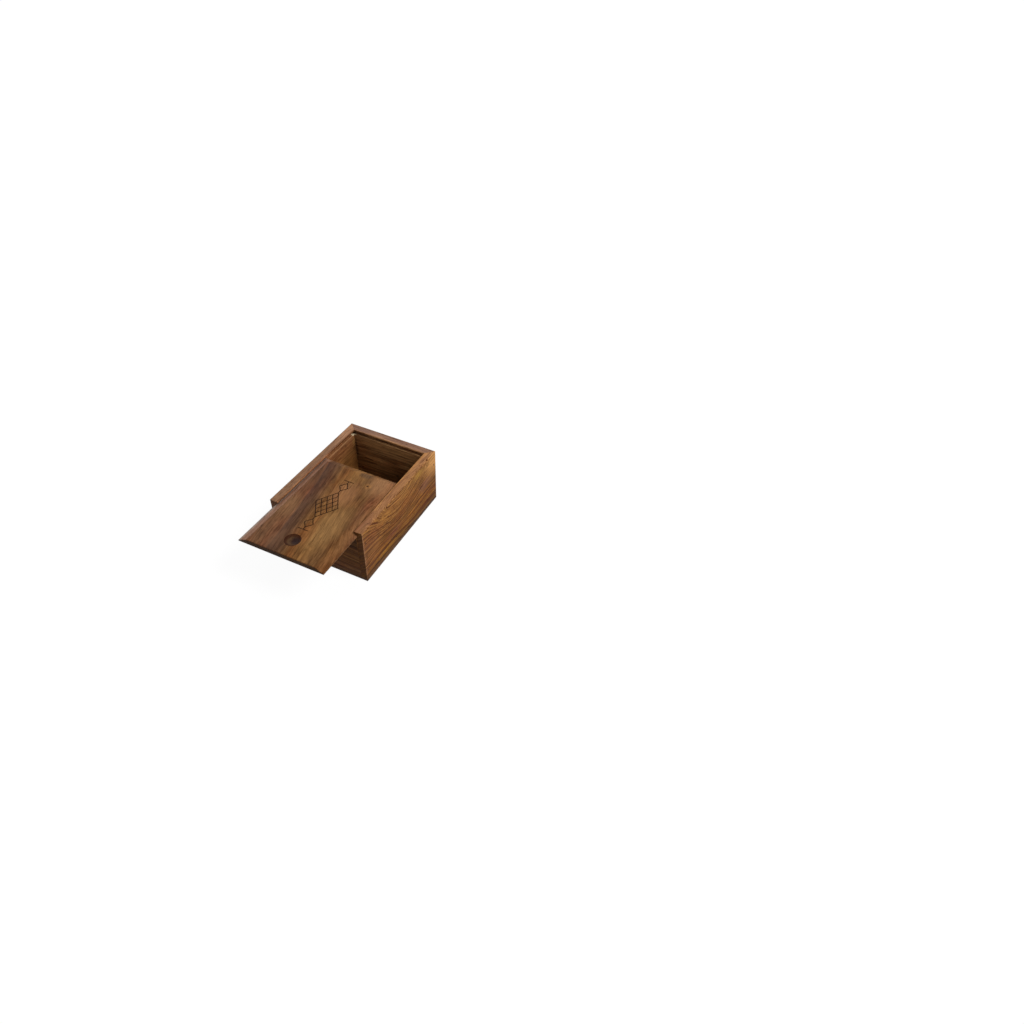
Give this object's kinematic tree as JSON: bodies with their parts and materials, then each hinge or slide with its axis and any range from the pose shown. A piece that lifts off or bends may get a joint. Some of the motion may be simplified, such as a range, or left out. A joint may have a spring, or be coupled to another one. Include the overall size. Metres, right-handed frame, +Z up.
{
  "type": "sliding-lid chess box",
  "caption": "Hardwood box for chessmen with a bevelled sliding lid, mitred grooved walls and a ball-cut thumb recess.",
  "frame": {"origin": "middle of the underside of the bottom board, which the box rests on", "axes": "+Y along the length to the closed back; the lid slides out towards -Y; +X across the lid; +Z up"},
  "size_m": [0.135, 0.251, 0.085],
  "materials": {
    "wall_wood": "satin wax",
    "base_wood": "satin wax",
    "lid_wood": "satin wax",
    "pin_steel": "bright"
  },
  "bodies": {
    "box": {"left_wall": "wall_wood", "right_wall": "wall_wood", "back_wall": "wall_wood", "front_wall": "wall_wood", "bottom_board": "base_wood", "corner_pins": "pin_steel", "bottom_pins": "pin_steel"},
    "lid": {"lid": "lid_wood"}
  },
  "joints": [
    {"name": "lid_slide", "type": "slide", "parent": "box", "child": "lid", "axis": [0, -1, 0], "range_m": [-0.069, 0.116]}
  ]
}
